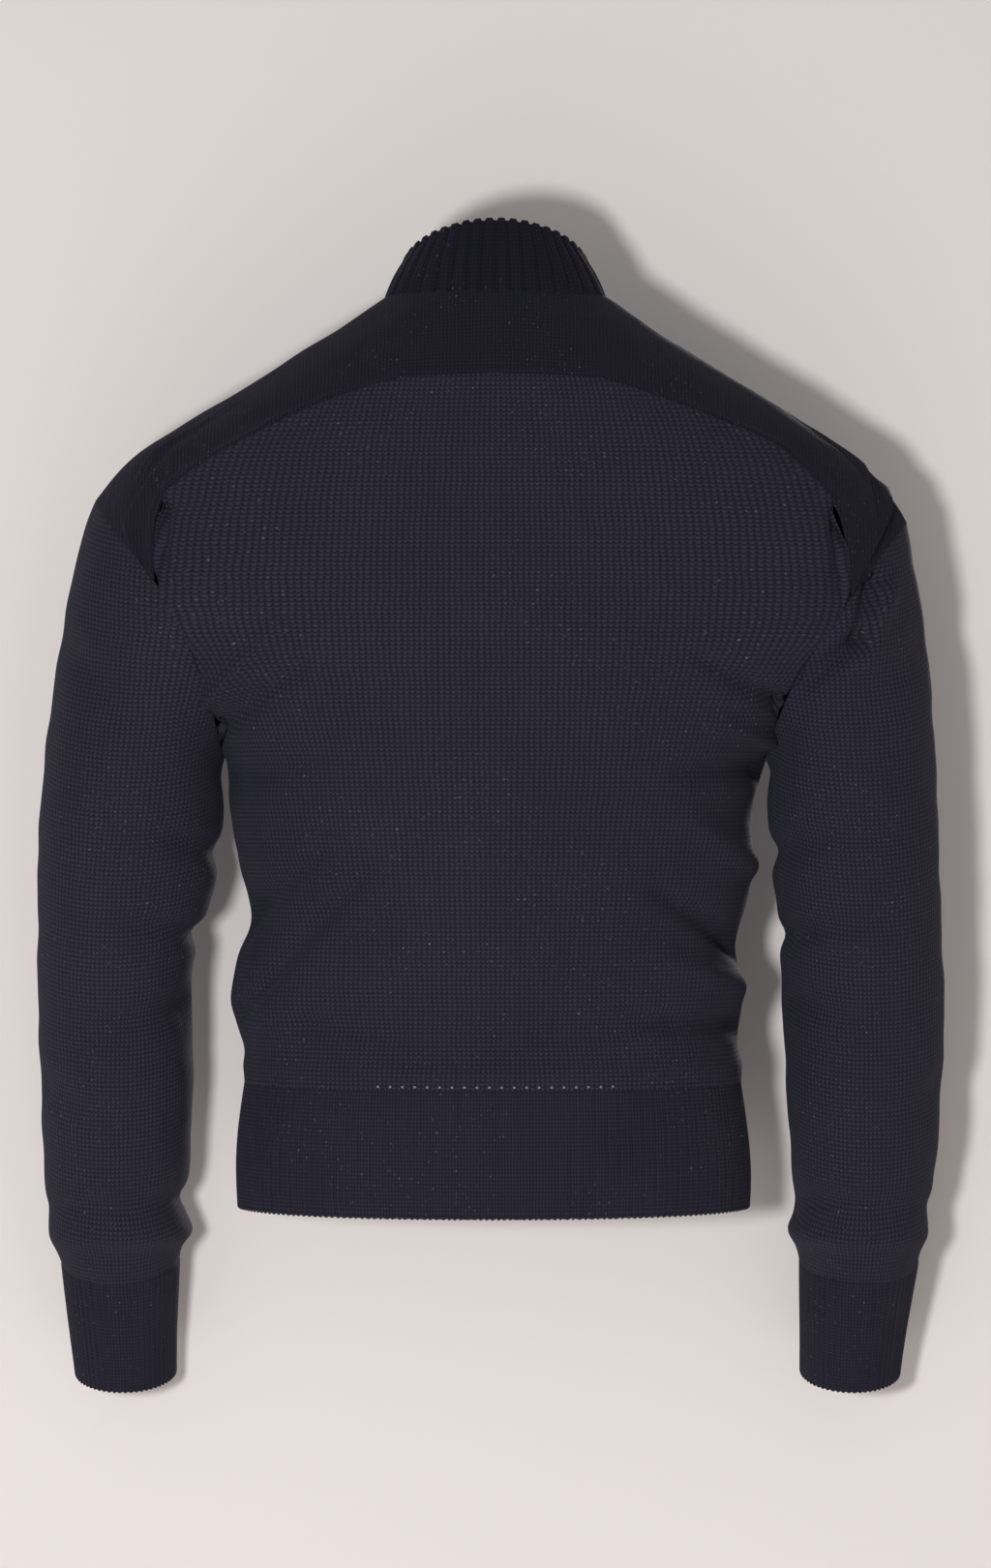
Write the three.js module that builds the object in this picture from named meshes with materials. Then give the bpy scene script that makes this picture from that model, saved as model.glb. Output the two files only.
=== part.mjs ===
// A military zip sweater, filled out with nobody in it. Millimetres, +X the wearer's right,
// +Y forward, +Z up, with the origin in the neck at the height of the shoulders.
// Every knitted piece is a patch on one of three surfaces: the body, a sleeve or the collar.
import * as THREE from "three";

// ---- driving sizes ----
const CLOTH = 2.4; // wall of the knit
const SEAM_SIDE = 0.3; // each piece stops this far short of the seam line
const SLEEVE_SIDE = 1.05; // the sleeve's head stops further off, because the armpit folds sharply
const ROUNDNESS = 2.15; // 2 is an ellipse, more is squarer
const HEM_SEAM = -556; // level where the hem rib is linked on
const HEM_END = -642;
const ZIP_HALF_SLOT = 4.6; // knitted edges stand this far from the middle front
const SLEEVE_COLUMNS_YOKE = 5; // armhole columns from the shoulder tip back to the yoke seam
const SLEEVE_COLUMNS_HALF = 12; // armhole columns from the shoulder tip to the armpit
const YOKE_FRONT_COLUMNS = 3; // armhole columns from the shoulder tip forward to the yoke seam
const YOKE_TURN_ANGLE = 70; // round the armhole from the tip, where the yoke's back seam meets it
const YOKE_SIDE_ROWS = 3; // back yoke seam, from the armhole up to its corner
const YOKE_BACK_COLUMNS = 10; // back yoke seam, from that corner to the middle
const YOKE_RINGS = 5; // from the collar out
const COLLAR_FRONT_COLUMNS = 4; // collar seam, from the yoke to the zip
const CUFF_ROW = 16; // row of the sleeve table where the cuff starts

// Body sections: half widths to each side, the ridge's y, and depths behind and before it.
const BODY = [
  { level: -2, left: 68, right: 68, ridge: -31, back: 40, front: 9 },
  { level: -8, left: 76, right: 76, ridge: -30, back: 42, front: 10 },
  { level: -15, left: 89, right: 90, ridge: -27, back: 52, front: 14 },
  { level: -34, left: 117, right: 118, ridge: -22, back: 66, front: 29 },
  { level: -50, left: 141, right: 141, ridge: -17, back: 79, front: 52 },
  { level: -67, left: 169, right: 169, ridge: -12, back: 90, front: 72 },
  { level: -89, left: 209, right: 209, ridge: -8, back: 100, front: 94 },
  { level: -116, left: 254, right: 255, ridge: -4, back: 109, front: 106 },
  { level: -143, left: 279, right: 279, ridge: -1, back: 114, front: 112 },
  { level: -170, left: 290, right: 291, ridge: 0, back: 117, front: 116 },
  { level: -212, left: 300, right: 299, ridge: 0, back: 119, front: 121 },
  { level: -232, left: 298, right: 300, ridge: 0, back: 119, front: 123 },
  { level: -257, left: 262, right: 263, ridge: 0, back: 119, front: 125 },
  { level: -286, left: 224, right: 224, ridge: 0, back: 118, front: 126 },
  { level: -312, left: 199, right: 198, ridge: 0, back: 117, front: 126 },
  { level: -331, left: 189.5, right: 189, ridge: 0, back: 116, front: 125 },
  { level: -347, left: 187.5, right: 184, ridge: 0, back: 114, front: 123 },
  { level: -361, left: 187, right: 180, ridge: 0, back: 112, front: 121 },
  { level: -374, left: 185.5, right: 179, ridge: 0, back: 110, front: 120 },
  { level: -401, left: 180, right: 182, ridge: 0, back: 108, front: 117 },
  { level: -429, left: 173.5, right: 178, ridge: 0, back: 105, front: 114 },
  { level: -442, left: 171, right: 173, ridge: 0, back: 104, front: 113 },
  { level: -456, left: 176, right: 168, ridge: 0, back: 103, front: 112 },
  { level: -469, left: 182, right: 169.5, ridge: 0, back: 102, front: 111 },
  { level: -497, left: 188, right: 175, ridge: 0, back: 101, front: 110 },
  { level: -510, left: 183, right: 170, ridge: 0, back: 101, front: 110 },
  { level: -537, left: 174, right: 170, ridge: 0, back: 102, front: 110 },
  { level: -556, left: 176, right: 172, ridge: 0, back: 103, front: 110 },
  { level: -592, left: 181.5, right: 177.5, ridge: 0, back: 104, front: 111 },
  { level: -633, left: 182.5, right: 180, ridge: 0, back: 104, front: 110 },
  { level: -642, left: 181, right: 178.5, ridge: 0, back: 103, front: 109 },
];

// Sleeve sections: outer and inner points as seen from behind, the middle's y, depths behind
// and before it, and the forward tilt of the ring in degrees.
const SLEEVES = {
  left: [
    { outer: 281, outerLevel: -147, inner: 189.5, innerLevel: -331, middle: 0, back: 72, front: 74, tilt: 0 },
    { outer: 290, outerLevel: -170, inner: 192, innerLevel: -339, middle: 0, back: 70, front: 72, tilt: 0 },
    { outer: 298, outerLevel: -205, inner: 192, innerLevel: -346, middle: 0, back: 68, front: 70, tilt: 0 },
    { outer: 306, outerLevel: -246, inner: 191, innerLevel: -354, middle: 0, back: 67, front: 68, tilt: 0 },
    { outer: 313, outerLevel: -290, inner: 190.5, innerLevel: -363, middle: 0, back: 66, front: 66, tilt: 0 },
    { outer: 318.5, outerLevel: -338, inner: 190, innerLevel: -377, middle: 0, back: 65, front: 64, tilt: 1 },
    { outer: 321.5, outerLevel: -386, inner: 191, innerLevel: -394, middle: 1, back: 63, front: 62, tilt: 2 },
    { outer: 322.3, outerLevel: -415, inner: 196, innerLevel: -417, middle: 1, back: 61, front: 60, tilt: 4 },
    { outer: 322.5, outerLevel: -442, inner: 203, innerLevel: -442, middle: 3, back: 59, front: 58, tilt: 5 },
    { outer: 323, outerLevel: -469, inner: 212, innerLevel: -469, middle: 6, back: 57, front: 57, tilt: 7 },
    { outer: 322.5, outerLevel: -500, inner: 214, innerLevel: -500, middle: 10, back: 56, front: 56, tilt: 9 },
    { outer: 322.2, outerLevel: -537, inner: 212, innerLevel: -537, middle: 16, back: 55, front: 55, tilt: 12 },
    { outer: 322, outerLevel: -578, inner: 214.5, innerLevel: -578, middle: 25, back: 54, front: 53, tilt: 15 },
    { outer: 321, outerLevel: -626, inner: 217, innerLevel: -626, middle: 38, back: 52, front: 51, tilt: 17 },
    { outer: 319, outerLevel: -658, inner: 220.5, innerLevel: -658, middle: 48, back: 50, front: 48, tilt: 17 },
    { outer: 314, outerLevel: -677, inner: 224.5, innerLevel: -677, middle: 54, back: 46, front: 44, tilt: 17 },
    { outer: 310.5, outerLevel: -687, inner: 225.5, innerLevel: -687, middle: 57, back: 43, front: 41, tilt: 17 },
    { outer: 308.3, outerLevel: -714, inner: 227, innerLevel: -714, middle: 65, back: 41, front: 40, tilt: 17 },
    { outer: 305.7, outerLevel: -741, inner: 229, innerLevel: -741, middle: 73, back: 39, front: 38, tilt: 17 },
    { outer: 302.8, outerLevel: -769, inner: 229.5, innerLevel: -769, middle: 81, back: 37, front: 36, tilt: 17 },
  ],
  right: [
    { outer: 290, outerLevel: -162, inner: 189, innerLevel: -331, middle: 0, back: 72, front: 74, tilt: 0 },
    { outer: 294, outerLevel: -182, inner: 193.5, innerLevel: -338, middle: 0, back: 70, front: 72, tilt: 0 },
    { outer: 299, outerLevel: -211, inner: 192.5, innerLevel: -344, middle: 0, back: 68, front: 70, tilt: 0 },
    { outer: 303.5, outerLevel: -248, inner: 191.5, innerLevel: -351, middle: 0, back: 66, front: 68, tilt: 0 },
    { outer: 308, outerLevel: -290, inner: 190.5, innerLevel: -360, middle: 0, back: 64, front: 65, tilt: 0 },
    { outer: 310.5, outerLevel: -338, inner: 190, innerLevel: -373, middle: 0, back: 62, front: 62, tilt: 1 },
    { outer: 311.5, outerLevel: -386, inner: 191, innerLevel: -391, middle: 1, back: 60, front: 60, tilt: 2 },
    { outer: 312.8, outerLevel: -415, inner: 194, innerLevel: -416, middle: 1, back: 59, front: 59, tilt: 4 },
    { outer: 314.2, outerLevel: -442, inner: 198.5, innerLevel: -442, middle: 3, back: 58, front: 58, tilt: 5 },
    { outer: 315.5, outerLevel: -469, inner: 200.3, innerLevel: -469, middle: 6, back: 57, front: 57, tilt: 7 },
    { outer: 316.5, outerLevel: -500, inner: 200.5, innerLevel: -500, middle: 10, back: 57, front: 57, tilt: 9 },
    { outer: 316.8, outerLevel: -537, inner: 203.5, innerLevel: -537, middle: 16, back: 56, front: 56, tilt: 12 },
    { outer: 316, outerLevel: -578, inner: 206.3, innerLevel: -578, middle: 25, back: 55, front: 54, tilt: 15 },
    { outer: 311.8, outerLevel: -626, inner: 210.5, innerLevel: -626, middle: 38, back: 52, front: 51, tilt: 17 },
    { outer: 307.5, outerLevel: -658, inner: 212.6, innerLevel: -658, middle: 48, back: 49, front: 47, tilt: 17 },
    { outer: 304, outerLevel: -677, inner: 215.5, innerLevel: -677, middle: 54, back: 45, front: 44, tilt: 17 },
    { outer: 302.5, outerLevel: -687, inner: 217, innerLevel: -687, middle: 57, back: 43, front: 41, tilt: 17 },
    { outer: 298.5, outerLevel: -714, inner: 217.5, innerLevel: -714, middle: 65, back: 41, front: 40, tilt: 17 },
    { outer: 294.5, outerLevel: -741, inner: 218.6, innerLevel: -741, middle: 73, back: 39, front: 38, tilt: 17 },
    { outer: 291.6, outerLevel: -769, inner: 219, innerLevel: -769, middle: 81, back: 37, front: 36, tilt: 17 },
  ],
};

// The armhole seam: how far out it lies at each level, the same before and behind.
const ARMHOLES = {
  left: [
    { level: -147, out: 281 },
    { level: -160, out: 272 },
    { level: -172, out: 263 },
    { level: -194, out: 244 },
    { level: -209, out: 233.5 },
    { level: -230, out: 221 },
    { level: -257, out: 207.5 },
    { level: -286, out: 199 },
    { level: -312, out: 193 },
    { level: -331, out: 189.5 },
  ],
  right: [
    { level: -162, out: 289 },
    { level: -173, out: 279 },
    { level: -185, out: 269 },
    { level: -200, out: 257 },
    { level: -215, out: 246 },
    { level: -232, out: 238 },
    { level: -262, out: 213 },
    { level: -286, out: 201.5 },
    { level: -312, out: 193 },
    { level: -331, out: 189 },
  ],
};

// The collar seam, half way round from the middle back (0) to the middle front (180).
const NECK = [
  { angle: 0, level: -8 },
  { angle: 90, level: -8 },
  { angle: 110, level: -11 },
  { angle: 125, level: -18 },
  { angle: 136, level: -30 },
  { angle: 150, level: -50 },
  { angle: 161, level: -64 },
  { angle: 170, level: -71 },
  { angle: 180, level: -74 },
];
const YOKE_FRONT_ANGLE = 136; // where the front yoke seam meets the collar seam
const COLLAR_TOP = { halfWidth: 66, middle: 4, halfDepth: 62, level: 10.4, rise: 30.6 };
const COLLAR_BULGE = 2;

// The yoke's back seam, from its corner near the armhole to the middle back.
const YOKE_BACK = {
  left: [
    { out: 229.5, level: -146 },
    { out: 197, level: -124.5 },
    { out: 155, level: -102.4 },
    { out: 113, level: -84 },
    { out: 56, level: -69 },
    { out: 0, level: -67.5 },
  ],
  right: [
    { out: 233.5, level: -151 },
    { out: 196, level: -116 },
    { out: 155, level: -98 },
    { out: 113, level: -83 },
    { out: 66, level: -69 },
    { out: 0, level: -67.5 },
  ],
};
const YOKE_SIDE_BOW = 4; // the seam's short side bows out by this between corner and armhole

// Levels of the body panels' rows below the armpits, and of the hem rib's rows.
const PANEL_ROWS = [-331, -347, -361, -374, -401, -429, -442, -456, -469, -497, -510, -537, HEM_SEAM];
const HEM_ROWS = [HEM_SEAM, -592, -620, HEM_END];

// Folds pressed into or raised on the body: a line between two places, as seen from behind.
const BODY_FOLDS = [
  { side: 1, x1: -190, z1: -497, x2: -94, z2: -390, width: 15, height: -5 },
  { side: 1, x1: -188, z1: -478, x2: -84, z2: -372, width: 13, height: 3.5 },
  { side: 1, x1: 167, z1: -459, x2: 108, z2: -404, width: 14, height: -5 },
  { side: 1, x1: -126, z1: -512, x2: -44, z2: -520, width: 13, height: -3 },
  { side: 1, x1: 32, z1: -514, x2: 150, z2: -508, width: 13, height: -3 },
  { side: -1, x1: -182, z1: -452, x2: -92, z2: -410, width: 15, height: -5 },
  { side: -1, x1: 178, z1: -470, x2: 80, z2: -430, width: 15, height: -5 },
  { side: -1, x1: 150, z1: -518, x2: 50, z2: -512, width: 13, height: -3 },
];

// Zip sizes.
const TAPE = { from: 0.7, to: 13, depth: 0.8, below: CLOTH + 1.6 };
const CHAIN = { from: 0.15, to: 2.7, depth: 1.7, below: 0.7 };
const SLIDER = { width: 8.4, height: 11, low: 0.62, thick: 3.2 };
const BAIL = { wire: 1.2, stand: 3 };
const TAB = { width: 4.6, length: 26, thick: 1.3, eye: 2, hole: 1.2 };
const STOP = { width: 2.4, height: 3, thick: 2 };

const COLOURS = { knit: 0x2e2d3b, rib: 0x2a2937, tape: 0x22222c, metal: 0x6f6d68 };

// ---- curves through tables ----
const radians = (degrees) => (degrees * Math.PI) / 180;
const degrees = (angle) => (angle * 180) / Math.PI;
const mix = (a, b, t) => a + (b - a) * t;

// A smooth curve through rows, which never overshoots them.
function curveThrough(rows, along, name) {
  const sorted = [...rows].sort((a, b) => a[along] - b[along]);
  const at = sorted.map((row) => row[along]);
  const value = sorted.map((row) => row[name]);
  const slope = at.slice(1).map((x, i) => (value[i + 1] - value[i]) / (x - at[i]));
  const tangent = value.map((_, i) => {
    if (i === 0) return slope[0];
    if (i === slope.length) return slope[i - 1];
    const product = slope[i - 1] * slope[i];
    return product <= 0 ? 0 : (2 * product) / (slope[i - 1] + slope[i]);
  });
  return (x) => {
    const clamped = Math.min(Math.max(x, at[0]), at[at.length - 1]);
    let i = 0;
    while (i < slope.length - 1 && clamped > at[i + 1]) i += 1;
    const span = at[i + 1] - at[i];
    const t = (clamped - at[i]) / span;
    const rise = value[i + 1] - value[i];
    const start = value[i] + t * span * tangent[i];
    const bend = 3 * rise - span * (2 * tangent[i] + tangent[i + 1]);
    const twist = span * (tangent[i] + tangent[i + 1]) - 2 * rise;
    return start + t * t * bend + t * t * t * twist;
  };
}

// One smooth curve for each named column of a table.
function curvesOf(rows, along) {
  const names = Object.keys(rows[0]).filter((name) => name !== along);
  return Object.fromEntries(names.map((name) => [name, curveThrough(rows, along, name)]));
}

// ---- the body surface ----
const body = curvesOf(BODY, "level");

// A point of the smooth body: angle in degrees from the middle back, minus to the wearer's left.
function smoothBody(angle, level) {
  const s = Math.sin(radians(angle));
  const c = Math.cos(radians(angle));
  const out = s < 0 ? body.left(level) : body.right(level);
  const deep = c > 0 ? body.back(level) : body.front(level);
  const power = 2 / ROUNDNESS;
  const x = out * Math.sign(s) * Math.abs(s) ** power;
  const y = body.ridge(level) - deep * Math.sign(c) * Math.abs(c) ** power;
  return new THREE.Vector3(x, y, level);
}

// The angle at which the body has this x at this level, behind (side 1) or before (side -1).
function angleAt(x, level, side) {
  const out = x < 0 ? body.left(level) : body.right(level);
  const s = Math.min(1, Math.abs(x) / out) ** (ROUNDNESS / 2);
  const near = degrees(Math.asin(s));
  return Math.sign(x || 1) * (side > 0 ? near : 180 - near);
}

// How far the folds push the cloth in (minus) or out (plus) here.
function foldHeight(point, side) {
  let height = 0;
  for (const fold of BODY_FOLDS) {
    if (fold.side !== side) continue;
    const dx = fold.x2 - fold.x1;
    const dz = fold.z2 - fold.z1;
    const along = ((point.x - fold.x1) * dx + (point.z - fold.z1) * dz) / (dx * dx + dz * dz);
    const t = Math.min(1, Math.max(0, along));
    const distance = Math.hypot(point.x - fold.x1 - t * dx, point.z - fold.z1 - t * dz);
    height += fold.height * Math.exp(-((distance / fold.width) ** 2)) * (1 - 0.6 * t);
  }
  return height;
}

// A point of the body with its folds, which fade out at the side seams and at the hem.
function bodyPoint(angle, level) {
  const point = smoothBody(angle, level);
  const facing = Math.cos(radians(angle));
  const fade = Math.min(1, Math.abs(facing) * 2.5);
  point.y -= Math.sign(facing) * fade * foldHeight(point, facing > 0 ? 1 : -1);
  return point;
}

// ---- seam lines, as lists of places on the body ----
const place = (angle, level) => ({ angle, level });
const placeAtX = (x, level, side) => place(angleAt(x, level, side), level);
const neckLevel = curveThrough(NECK, "angle", "level");
const neckPlace = (angle) => place(angle, neckLevel(Math.abs(angle)));

// Even steps from one place to another, both ends kept.
function steps(from, to, count) {
  const list = [];
  for (let i = 0; i <= count; i += 1) {
    const t = i / count;
    list.push(place(mix(from.angle, to.angle, t), mix(from.level, to.level, t)));
  }
  return list;
}

// Angles round an armhole from the shoulder tip (0) back to the armpit (180).
const armholeAngles = [];
for (let i = 0; i <= SLEEVE_COLUMNS_HALF; i += 1) {
  const below = i - SLEEVE_COLUMNS_YOKE;
  const lower = (180 - YOKE_TURN_ANGLE) / (SLEEVE_COLUMNS_HALF - SLEEVE_COLUMNS_YOKE);
  const upper = YOKE_TURN_ANGLE / SLEEVE_COLUMNS_YOKE;
  armholeAngles.push(below < 0 ? i * upper : YOKE_TURN_ANGLE + below * lower);
}

const SIDES = { left: -1, right: 1 };

// The place on the armhole seam at a turn from the shoulder tip: plus is back, minus is front.
function armholePlace(sideName, turn) {
  const rows = ARMHOLES[sideName];
  const tip = rows[0].level;
  const pit = rows[rows.length - 1].level;
  const level = mix(tip, pit, (1 - Math.cos(radians(turn))) / 2);
  const x = SIDES[sideName] * curveThrough(rows, "level", "out")(level);
  if (Math.abs(turn) === 180 || turn === 0) return place(SIDES[sideName] * 90, level);
  return placeAtX(x, level, turn > 0 ? 1 : -1);
}

// The yoke's back seam from its corner to the middle back, in even steps along the cloth.
function yokeBackSeam(sideName) {
  const rows = YOKE_BACK[sideName];
  const levelAt = curveThrough(rows, "out", "level");
  const corner = rows[0].out;
  const list = [];
  for (let i = 0; i <= YOKE_BACK_COLUMNS; i += 1) {
    const out = corner * (1 - i / YOKE_BACK_COLUMNS);
    list.push(placeAtX(SIDES[sideName] * out, levelAt(out), 1));
  }
  list[YOKE_BACK_COLUMNS].angle = 0;
  return list;
}

// The yoke's short side seam, from the armhole up to the corner.
function yokeSideSeam(sideName) {
  const foot = armholePlace(sideName, YOKE_TURN_ANGLE);
  const corner = YOKE_BACK[sideName][0];
  const footX = Math.abs(smoothBody(foot.angle, foot.level).x);
  const list = [];
  for (let i = 0; i <= YOKE_SIDE_ROWS; i += 1) {
    const t = i / YOKE_SIDE_ROWS;
    const out = mix(footX, corner.out, t) + YOKE_SIDE_BOW * Math.sin(Math.PI * t);
    list.push(placeAtX(SIDES[sideName] * out, mix(foot.level, corner.level, t), 1));
  }
  list[0] = foot;
  return list;
}

// ---- patches between seam lines ----
// Fills four seam lines that meet at their ends: bottom and top run one way, left and right up.
function patch(bottom, top, left, right) {
  const columns = bottom.length - 1;
  const rows = left.length - 1;
  const blend = (name, i, j) => {
    const u = i / columns;
    const v = j / rows;
    const upright = mix(bottom[i][name], top[i][name], v);
    const across = mix(left[j][name], right[j][name], u);
    const low = mix(bottom[0][name], bottom[columns][name], u);
    const high = mix(top[0][name], top[columns][name], u);
    return upright + across - mix(low, high, v);
  };
  const grid = [];
  for (let j = 0; j <= rows; j += 1) {
    const row = [];
    for (let i = 0; i <= columns; i += 1) {
      row.push(place(blend("angle", i, j), blend("level", i, j)));
    }
    grid.push(row);
  }
  return grid;
}

const onBody = (grid) => grid.map((row) => row.map((p) => bodyPoint(p.angle, p.level)));

// Normals of a grid of points, from its neighbours; a closed grid wraps from column to column.
function gridNormals(grid, closed) {
  const rows = grid.length;
  const columns = grid[0].length;
  return grid.map((row, j) =>
    row.map((_, i) => {
      const before = closed ? (i + columns - 1) % columns : Math.max(0, i - 1);
      const after = closed ? (i + 1) % columns : Math.min(columns - 1, i + 1);
      const across = row[after].clone().sub(row[before]);
      const up = grid[Math.min(rows - 1, j + 1)][i].clone().sub(grid[Math.max(0, j - 1)][i]);
      return across.cross(up).normalize();
    }),
  );
}

// ---- pieces ----
const pieces = [];
const seamNormals = new Map();
const seamKey = (p) => [p.x, p.y, p.z].map((v) => Math.round(v * 20)).join(",");

// Adds a knitted piece: its outer grid, rows from low to high, columns from the left as seen
// from outside.
function addPiece(name, grid, { closed = false, colour = COLOURS.knit, head = SEAM_SIDE } = {}) {
  const normals = gridNormals(grid, closed);
  pieces.push({ name, grid, normals, closed, colour, head });
  grid.forEach((row, j) =>
    row.forEach((p, i) => {
      const onEdge = j === 0 || j === grid.length - 1;
      if (!onEdge && (closed || (i > 0 && i < row.length - 1))) return;
      const sum = seamNormals.get(seamKey(p)) ?? new THREE.Vector3();
      // A sleeve counts twice, since front and back both meet it at the armpit.
      seamNormals.set(seamKey(p), sum.addScaledVector(normals[j][i], closed ? 2 : 1));
    }),
  );
}

// Two pieces that meet at a seam turn their edges the same way there.
function shareSeamNormals() {
  for (const { grid, normals } of pieces) {
    grid.forEach((row, j) =>
      row.forEach((p, i) => {
        const sum = seamNormals.get(seamKey(p));
        if (sum) normals[j][i] = sum.clone().normalize();
      }),
    );
  }
}

// Moves a grid's edges in a little, square to the seam and along the cloth's face, so that each
// piece stops just short of its seams.
function stopShort(grid, normals, closed, head) {
  const last = grid.length - 1;
  const end = grid[0].length - 1;
  return grid.map((row, j) =>
    row.map((p, i) => {
      const moved = p.clone();
      const aside = (before, after, inward, by = SEAM_SIDE) => {
        const step = after.clone().sub(before).cross(normals[j][i]).setLength(by);
        moved.addScaledVector(step, Math.sign(step.dot(inward.clone().sub(p))));
      };
      const previous = closed ? row[(i + end) % (end + 1)] : row[Math.max(0, i - 1)];
      const next = closed ? row[(i + 1) % (end + 1)] : row[Math.min(end, i + 1)];
      if (j === 0) aside(previous, next, grid[1][i]);
      if (j === last) aside(previous, next, grid[last - 1][i], head);
      const below = grid[Math.max(0, j - 1)][i];
      const above = grid[Math.min(last, j + 1)][i];
      if (!closed && i === 0) aside(below, above, row[1]);
      if (!closed && i === end) aside(below, above, row[end - 1]);
      return moved;
    }),
  );
}

// A closed wall between an outer grid and the same grid moved in along its normals.
function wallGeometry(outer, normals, closed, depth) {
  const rows = outer.length;
  const columns = outer[0].length;
  const inner = outer.map((row, j) =>
    row.map((p, i) => p.clone().addScaledVector(normals[j][i], -depth)),
  );
  const positions = [...outer.flat(), ...inner.flat()].flatMap((p) => p.toArray());
  const at = (j, i) => j * columns + (i % columns);
  const under = (j, i) => rows * columns + at(j, i);
  const faces = [];
  const quad = (a, b, c, d) => faces.push(a, b, c, a, c, d);
  const spans = closed ? columns : columns - 1;
  for (let i = 0; i < spans; i += 1) {
    for (let j = 0; j < rows - 1; j += 1) {
      quad(at(j, i), at(j, i + 1), at(j + 1, i + 1), at(j + 1, i));
      quad(under(j, i), under(j + 1, i), under(j + 1, i + 1), under(j, i + 1));
    }
    quad(at(0, i + 1), at(0, i), under(0, i), under(0, i + 1));
    quad(at(rows - 1, i), at(rows - 1, i + 1), under(rows - 1, i + 1), under(rows - 1, i));
  }
  for (let j = 0; j < rows - 1 && !closed; j += 1) {
    quad(at(j, 0), at(j + 1, 0), under(j + 1, 0), under(j, 0));
    const end = columns - 1;
    quad(at(j + 1, end), at(j, end), under(j, end), under(j + 1, end));
  }
  const geometry = new THREE.BufferGeometry();
  geometry.setAttribute("position", new THREE.Float32BufferAttribute(positions, 3));
  geometry.setIndex(faces);
  geometry.computeVertexNormals();
  return geometry;
}

// ---- back, fronts, yoke and hem ----
const zipAngle = (level, side) => side * Math.abs(angleAt(ZIP_HALF_SLOT, level, -1));

function addBack() {
  const columns = 2 * YOKE_BACK_COLUMNS;
  const rowAt = (level) => steps(place(-90, level), place(90, level), columns);
  const backArmhole = (sideName) =>
    armholeAngles
      .slice(SLEEVE_COLUMNS_YOKE)
      .reverse()
      .map((turn) => armholePlace(sideName, turn));
  const sideLine = (name) => [...backArmhole(name), ...yokeSideSeam(name).slice(1)];
  const top = [...yokeBackSeam("left"), ...yokeBackSeam("right").reverse().slice(1)];
  const upper = patch(rowAt(PANEL_ROWS[0]), top, sideLine("left"), sideLine("right"));
  const lower = PANEL_ROWS.slice(1).reverse().map(rowAt);
  addPiece("back", onBody([...lower, ...upper]));
  addPiece("hem_back", onBody([...HEM_ROWS].reverse().map(rowAt)), { colour: COLOURS.rib });
}

// The front yoke seam, from the armhole to the collar.
function yokeFrontSeam(sideName) {
  const corner = armholePlace(sideName, -armholeAngles[YOKE_FRONT_COLUMNS]);
  const collar = neckPlace(SIDES[sideName] * YOKE_FRONT_ANGLE);
  const from = smoothBody(corner.angle, corner.level);
  const to = smoothBody(collar.angle, collar.level);
  const list = [corner];
  for (let i = 1; i < YOKE_RINGS; i += 1) {
    const t = i / YOKE_RINGS;
    list.push(placeAtX(mix(from.x, to.x, t), mix(corner.level, collar.level, t), -1));
  }
  return [...list, collar];
}

function neckFront(sideName) {
  const side = SIDES[sideName];
  const zipEdge = zipAngle(NECK[NECK.length - 1].level, side);
  const from = side * YOKE_FRONT_ANGLE;
  const list = [];
  for (let i = 0; i <= COLLAR_FRONT_COLUMNS; i += 1) {
    list.push(neckPlace(mix(from, zipEdge, i / COLLAR_FRONT_COLUMNS)));
  }
  return list;
}

function addFront(sideName) {
  const side = SIDES[sideName];
  const columns = YOKE_RINGS + COLLAR_FRONT_COLUMNS;
  // From the side seam to the zip.
  const rowAt = (level) => steps(place(side * 90, level), place(zipAngle(level, side), level), columns);
  const armhole = armholeAngles
    .slice(YOKE_FRONT_COLUMNS)
    .reverse()
    .map((turn) => armholePlace(sideName, -turn));
  const top = [...yokeFrontSeam(sideName), ...neckFront(sideName).slice(1)];
  const topEnd = top[top.length - 1];
  const rise = armhole.length - 1;
  const zipLine = armhole.map((_, j) => {
    const level = mix(PANEL_ROWS[0], topEnd.level, j / rise);
    return place(zipAngle(level, side), level);
  });
  zipLine[rise] = topEnd;
  const upper = patch(rowAt(PANEL_ROWS[0]), top, armhole, zipLine);
  const lower = PANEL_ROWS.slice(1).reverse().map(rowAt);
  const turned = (grid) => (side < 0 ? grid.map((row) => [...row].reverse()) : grid);
  addPiece("front_" + sideName, onBody(turned([...lower, ...upper])));
  const hem = [...HEM_ROWS].reverse().map(rowAt);
  addPiece("hem_front_" + sideName, onBody(turned(hem)), { colour: COLOURS.rib });
}

// Places along the collar seam for each line that runs out across the yoke, left front to right.
const YOKE_LINES_HALF = YOKE_FRONT_COLUMNS + SLEEVE_COLUMNS_YOKE + YOKE_SIDE_ROWS + YOKE_BACK_COLUMNS;

function yokeNeck() {
  const list = [];
  for (let i = -YOKE_LINES_HALF; i <= YOKE_LINES_HALF; i += 1) {
    list.push(neckPlace((YOKE_FRONT_ANGLE * i) / YOKE_LINES_HALF));
  }
  return list;
}

// The yoke's outer edge on one side: armhole, short side, then back seam to the middle.
function yokeOuter(sideName) {
  const front = armholeAngles
    .slice(0, YOKE_FRONT_COLUMNS + 1)
    .reverse()
    .map((turn) => armholePlace(sideName, -turn));
  const back = armholeAngles
    .slice(1, SLEEVE_COLUMNS_YOKE + 1)
    .map((turn) => armholePlace(sideName, turn));
  return [
    ...front,
    ...back,
    ...yokeSideSeam(sideName).slice(1),
    ...yokeBackSeam(sideName).slice(1),
  ];
}

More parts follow.
